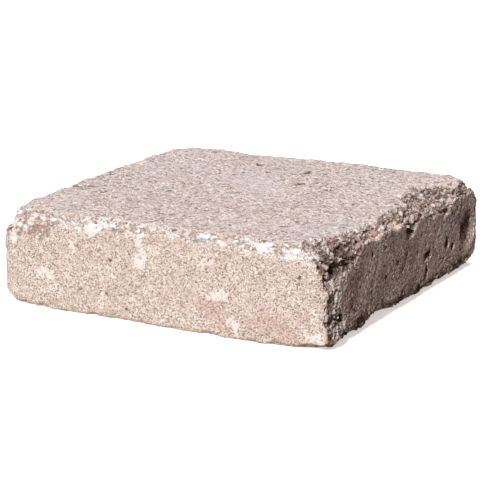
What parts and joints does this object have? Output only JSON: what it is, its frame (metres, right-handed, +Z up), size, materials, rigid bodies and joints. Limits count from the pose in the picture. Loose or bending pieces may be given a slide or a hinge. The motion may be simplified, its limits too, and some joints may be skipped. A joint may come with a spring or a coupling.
{
  "type": "tumbled concrete paver",
  "caption": "Square tumbled concrete paver, one cast block with worn, chipped rims, laid flat to pave paths and patios.",
  "frame": {"origin": "centre of the bed face, the face that the paver lies on", "axes": "+Z up out of the wearing face, +X along the front side, -Y out of the front side"},
  "size_m": [0.1749, 0.1748, 0.046],
  "materials": {
    "concrete": "matt, tumbled"
  },
  "bodies": {
    "root": {"paver": "concrete"}
  },
  "joints": []
}
